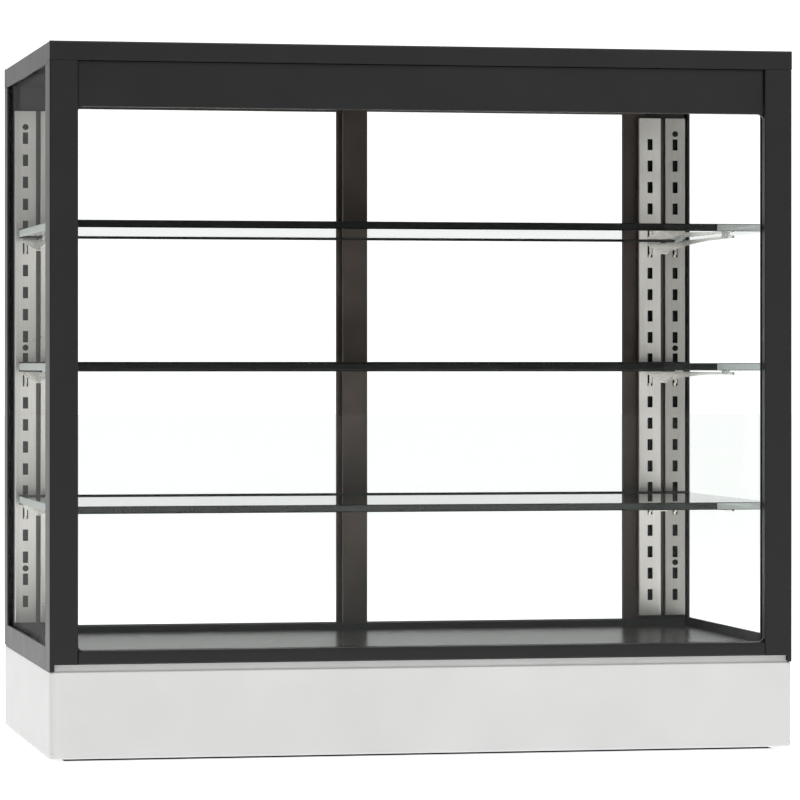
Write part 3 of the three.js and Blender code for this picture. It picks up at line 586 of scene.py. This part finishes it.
def shade_leaves(piece):
    """Paints shade into the groove between an upright's leaves, and onto the outer leaf of the right
    upright, as darker copies of the steel.
    """
    piece.data.materials.append(groove_painted_shade)
    piece.data.materials.append(steel_painted_shade)
    low, high, middle = span(piece.name.removesuffix("_finished"))
    outwards = math.copysign(1, middle.x)
    edge = high.x if outwards > 0 else low.x
    start, end = OUTER_LEAF, OUTER_LEAF + LEAF_GROOVE
    for face in piece.data.polygons:
        inset = (edge - face.center.x) * outwards
        # groove faces get the painted shade
        if start - SEAM < inset < end + SEAM and face.center.y > low.y + MM:
            face.material_index = 1
        # the right upright's outer leaf gets the painted shade
        elif inset < start and outwards > 0:
            face.material_index = 2


def finish_foot(node):
    """A moulded foot with a recess for its screw in the middle of the tread."""
    piece = merged_copy(node)
    low, _, _ = span(node)
    select_where(piece, "FACE", lambda centre, normal: normal.z < -0.9 and centre.z < low.z + MM)
    bpy.ops.mesh.inset(thickness=FOOT_TREAD)
    bpy.ops.mesh.inset(thickness=FOOT_STEP[0], depth=-FOOT_STEP[1])
    bpy.ops.mesh.inset(thickness=FOOT_LAND)
    bpy.ops.mesh.inset(thickness=FOOT_WALL, depth=-FOOT_RECESS)
    object_mode()
    soften(piece, 0.3 * MM, 2)
    settle(piece, rubber_and_painted_shadow, "cabinet")
    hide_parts(node)


finish_cad()


# ---------- Screws ----------

HEAD_RADIUS = 3.4 * MM
HEAD_RIM = 0.7 * MM
HEAD_DOME = 0.5 * MM
HEAD_SHOULDER = (0.5 * MM, 0.3 * MM)  # width and height of the dome's first ring
HEAD_CROWN = 1.0 * MM
RECESS_ARM = 1.9 * MM
RECESS_WIDTH = 0.45 * MM
RECESS_DEPTH = 0.8 * MM
FACING_UP, FACING_DOWN = (0, 0, 0), (180, 0, 0)
FACING_FRONT, FACING_REAR = (90, 0, 0), (-90, 0, 0)


def make_screw():
    """A low domed screw head with a cross recess, on the plane z = 0, facing up."""
    clear_selection()
    bpy.ops.mesh.primitive_cylinder_add(
        vertices=32, radius=HEAD_RADIUS, depth=HEAD_RIM, location=(0, 0, HEAD_RIM / 2)
    )
    bpy.ops.object.transform_apply(location=True)
    head = bpy.context.object
    select_where(head, "FACE", lambda centre, normal: normal.z > 0.9)
    bpy.ops.mesh.inset(thickness=HEAD_SHOULDER[0], depth=HEAD_SHOULDER[1])
    bpy.ops.mesh.inset(thickness=HEAD_CROWN, depth=HEAD_DOME - HEAD_SHOULDER[1])
    object_mode()
    top = HEAD_RIM + HEAD_DOME
    for arm in [(RECESS_ARM, RECESS_WIDTH), (RECESS_WIDTH, RECESS_ARM)]:
        low = (-arm[0], -arm[1], top - RECESS_DEPTH)
        cut_by(head, new_block("recess", low, (arm[0], arm[1], top + MM)))
    soften(head, 0.1 * MM, 1)
    return head


def place_screws(name, head, places, turn, finish):
    for i, place in enumerate(places):
        screw = copy_to(head, f"{name}_{i + 1}", place, turn)
        settle(screw, finish, "cabinet")


def corners_of(low, high, inset):
    """The four corners of a box in plan, moved in by inset."""
    xs = [low.x + inset, high.x - inset]
    ys = [low.y + inset, high.y - inset]
    return [(x, y) for x in xs for y in ys]


UPRIGHT_SCREW_HEIGHTS = [182.5 * MM, 432.5 * MM, 682.5 * MM]
TAB_INSET = 14 * MM
ROOF_SCREW_INSET = 12 * MM
RECESS_SCREW = (70 * MM, 20 * MM)  # across and up from the middle of the service recess


def fit_screws():
    head = make_screw()
    left, right = span("left_upright"), span("right_upright")
    columns = [left[0].x + OUTER_LEAF / 2, right[1].x - OUTER_LEAF / 2]
    front = left[0].y
    upright = [(x, front, z) for x in columns for z in UPRIGHT_SCREW_HEIGHTS]
    place_screws("upright_screw", head, upright, FACING_FRONT, black_screw)
    low, high, _ = span("base_bottom_plate")
    plate = [(x, y, low.z) for x, y in corners_of(low, high, TAB_INSET)]
    place_screws("bottom_plate_screw", head, plate, FACING_DOWN, zinc_screw)
    feet = [(span(foot)[2].x, span(foot)[2].y, FOOT_RECESS + FOOT_STEP[1]) for foot in FEET]
    place_screws("foot_screw", head, feet, FACING_DOWN, zinc_screw)
    low, high, _ = span("roof_panel")
    roof = [(x, y, high.z) for x, y in corners_of(low, high, ROOF_SCREW_INSET)]
    roof += [(0, low.y + ROOF_SCREW_INSET, high.z), (0, high.y - ROOF_SCREW_INSET, high.z)]
    place_screws("roof_screw", head, roof, FACING_UP, black_screw)
    middle, wall = span("service_panel")[2], span("base_housing")[1].y
    across, up = RECESS_SCREW
    recess = [(middle.x + i * across, wall, middle.z + j * up) for i in (-1, 1) for j in (-1, 1)]
    place_screws("recess_screw", head, recess, FACING_REAR, zinc_screw)
    bpy.data.objects.remove(head)


fit_screws()


# ---------- Shelf pads and door brush ----------

PAD_HALF = (3 * MM, 7 * MM)
PAD_TOP = 1.6 * MM
PAD_LEG = 2.4 * MM
PAD_SLOT = 1.6 * MM
PAD_ROUND = 1.0 * MM
PAD_SEAT = 0.02 * MM  # clear of the top of the arm
PAD_PLACES = {"front": 140 * MM, "rear": 340 * MM}  # from the front of the case
CUT_PAST = 50 * MM  # how far a cutter runs beyond what it cuts


def make_pad():
    """A small saddle of silicone that clips over an arm, with the arm's top at z = 0."""
    pad = new_block("pad", (-PAD_HALF[0], -PAD_HALF[1], -PAD_LEG), (*PAD_HALF, PAD_TOP))
    select_where(pad, "EDGE", lambda centre, way: abs(way.y) > 0.9 and centre.z > 0)
    bpy.ops.mesh.bevel(offset=PAD_ROUND, segments=3)
    object_mode()
    low, high = (-PAD_SLOT, -CUT_PAST, -CUT_PAST), (PAD_SLOT, CUT_PAST, PAD_SEAT)
    cut_by(pad, new_block("slot", low, high))
    soften(pad, 0.15 * MM, 1)
    return pad


def fit_pads():
    pad = make_pad()
    case_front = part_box("front_top_rail")[0].y
    for side in ("left", "right"):
        for number in (1, 2, 3):
            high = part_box(f"bracket_{side}_{number}")[1]
            for place, depth in PAD_PLACES.items():
                spot = (arm_middle(side, number), case_front + depth, high.z)
                piece = copy_to(pad, f"shelf_pad_{side}_{number}_{place}", spot)
                settle(piece, pad_silicone, "cabinet")
    bpy.data.objects.remove(pad)


def arm_middle(side, number):
    """Middle of a bracket's arm across the case, from the vertices nearest the front."""
    mesh = frame["nodes"][f"bracket_{side}_{number}"].data
    front = min(vertex.co.y for vertex in mesh.vertices)
    tip = [vertex.co.x for vertex in mesh.vertices if vertex.co.y < front + MM]
    return (min(tip) + max(tip)) / 2


BRUSH_ENDS = (20 * MM, 30 * MM)  # short of the stile's foot and top
BRUSH_HALF = 3 * MM
BRUSH_EDGE = 1.4 * MM  # holder beside the pile
BRUSH_TAPER = 0.45
BRUSH_ROOT = 0.8 * MM
BRUSH_REACH = 5.0 * MM
BRUSH_CLEAR = 5 * MM  # left open above and below the pull that passes the brush


def fit_brush():
    """Two pile strips on the front of the left door's meeting stile, above and below the other pull."""
    low, high, middle = span("left_door_meeting_stile")
    pull_low, pull_high, _ = span("right_door_pull")
    strips = {
        "lower": (low.z + BRUSH_ENDS[0], pull_low.z - BRUSH_CLEAR),
        "upper": (pull_high.z + BRUSH_CLEAR, high.z - BRUSH_ENDS[1]),
    }
    for name, (foot, top) in strips.items():
        brush = new_block(
            f"left_door_brush_{name}",
            (middle.x - BRUSH_HALF, low.y - BRUSH_ROOT, foot),
            (middle.x + BRUSH_HALF, low.y, top),
        )
        select_where(brush, "FACE", lambda centre, normal: normal.y < -0.9)
        bpy.ops.mesh.inset(thickness=BRUSH_EDGE)
        bpy.ops.mesh.extrude_region_move(
            TRANSFORM_OT_translate={"value": (0, BRUSH_ROOT - BRUSH_REACH, 0)}
        )
        bpy.ops.transform.resize(value=(BRUSH_TAPER, 1, 1))
        object_mode()
        soften(brush, 0.15 * MM, 1)
        settle(brush, brush_pile, "left_door")


fit_pads()
fit_brush()


# ---------- Rounded corners of the front window ----------

WINDOW_ROUND = 6 * MM
WINDOW_ROUND_HALF = 3 * MM  # half its depth, front to back


def fit_window_corners():
    """Four concave fillets where the front posts meet the header and the bottom rail."""
    low = (-WINDOW_ROUND, -WINDOW_ROUND_HALF, -WINDOW_ROUND)
    fillet = new_block("fillet", low, (0, WINDOW_ROUND_HALF, 0))
    clear_selection()
    bpy.ops.mesh.primitive_cylinder_add(
        vertices=48, radius=WINDOW_ROUND, depth=0.02,
        location=(-WINDOW_ROUND, 0, -WINDOW_ROUND), rotation=(math.pi / 2, 0, 0),
    )
    cut_by(fillet, bpy.context.object)
    soften(fillet, 0)
    header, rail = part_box("light_header"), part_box("front_bottom_rail")
    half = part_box("post_front_right")[0].x
    depth = (header[0].y + header[1].y) / 2
    corners = {
        "top_right": ((half, depth, header[0].z), (0, 0, 0)),
        "top_left": ((-half, depth, header[0].z), (0, 0, 180)),
        "bottom_right": ((half, depth, rail[1].z), (180, 0, 0)),
        "bottom_left": ((-half, depth, rail[1].z), (0, 180, 0)),
    }
    for name, (place, turn) in corners.items():
        piece = copy_to(fillet, f"window_corner_{name}", place, turn)
        settle(piece, black_paint, "cabinet")
    bpy.data.objects.remove(fillet)


fit_window_corners()


# ---------- Studio ----------

CAMERA_PLACE = (-0.906702, -4.644209, 0.41352)
CAMERA_TURN = 11.23
SENSOR = 36.0
LENS = 192.24
SHIFT_UP = -0.04443
SHADE_RISE = 0.05 * MM
SHADE_INSET = 17 * MM
FLOOR_SIZE = 60
BACKDROP = 1.25


def aimed(place, target):
    """The turn that points a lamp at place towards target."""
    return (Vector(target) - Vector(place)).to_track_quat("-Z", "Y").to_euler()


def soft_lamp(name, place, target, size, power):
    lamp = bpy.data.lights.new(name, "AREA")
    lamp.shape = "RECTANGLE"
    lamp.size, lamp.size_y = size
    lamp.energy = power
    lamp_object = bpy.data.objects.new(name, lamp)
    lamp_object.location = place
    lamp_object.rotation_euler = aimed(place, target)
    lamp_object.visible_camera = False
    bpy.context.scene.collection.objects.link(lamp_object)


def make_floor():
    clear_selection()
    bpy.ops.mesh.primitive_plane_add(size=FLOOR_SIZE, location=(0, 0, 0))
    floor = bpy.context.object
    floor.name = "studio_floor"
    material, tree, output = new_finish("pale_studio_floor")
    cloud = noise(tree, object_pattern(tree), 0.6, 2.0)
    finish_surface(tree, output, {
        "Base Color": tones(tree, cloud, [(0.3, "#F4F4F4"), (0.7, "#F6F6F6")]),
        "Roughness": 0.9,
        "Specular IOR Level": 0.0,
        "Emission Color": (1, 1, 1, 1),
        "Emission Strength": 0.74,
    })
    floor.data.materials.append(material)


def make_shade():
    """A dark sheet under the case, drawn in from its edges: painted shadow for the gap over the floor."""
    clear_selection()
    low, high = (Vector(corner) for corner in CAD_BOX)
    bpy.ops.mesh.primitive_plane_add(size=1, location=(0, 0, SHADE_RISE))
    shade = bpy.context.object
    shade.name = "studio_painted_shadow_under_case"
    shade.scale = (high.x - low.x - 2 * SHADE_INSET, high.y - low.y - 2 * SHADE_INSET, 1)
    # the rubber's dark colour here is painted shadow
    shade.data.materials.append(rubber_and_painted_shadow)


def make_world():
    """White all round, dimmer from the front, with a brighter backdrop behind everything."""
    world = bpy.data.worlds.new("studio")
    world.use_nodes = True
    tree = world.node_tree
    tree.nodes.clear()
    way = add_node(tree, "TexCoord").outputs["Generated"]
    front = add_node(tree, "SeparateXYZ", {"Vector": way}).outputs["Y"]
    light = spread(tree, front, 0.12, 0.9, -0.25, 1.0)
    path = add_node(tree, "LightPath").outputs["Is Camera Ray"]
    mixed = add_node(tree, "MapRange", {"Value": path, "To Min": light, "To Max": BACKDROP})
    back = add_node(tree, "Background", {"Color": (1, 1, 1, 1), "Strength": mixed.outputs["Result"]})
    output = add_node(tree, "OutputWorld")
    tree.links.new(back.outputs["Background"], output.inputs["Surface"])
    bpy.context.scene.world = world


def make_camera():
    camera = bpy.data.cameras.new("camera")
    camera.sensor_width = SENSOR
    camera.lens = LENS
    camera.shift_y = SHIFT_UP
    camera.clip_end = 100
    holder = bpy.data.objects.new("camera", camera)
    holder.location = CAMERA_PLACE
    holder.rotation_euler = Euler((math.radians(90), 0, math.radians(-CAMERA_TURN)))
    bpy.context.scene.collection.objects.link(holder)
    bpy.context.scene.camera = holder


def make_studio():
    make_floor()
    make_shade()
    make_world()
    make_camera()
    soft_lamp("key_lamp", (-0.5, -3.0, 2.9), (0, 0, 0.3), (2.4, 1.6), 36)
    soft_lamp("fill_lamp", (1.6, -2.8, 2.2), (0, 0, 0.3), (2.0, 1.4), 18)
    soft_lamp("top_lamp", (0, 0.4, 3.2), (0, 0, 0.4), (3.0, 3.0), 40)
    bpy.context.scene.view_settings.view_transform = "Standard"


make_studio()
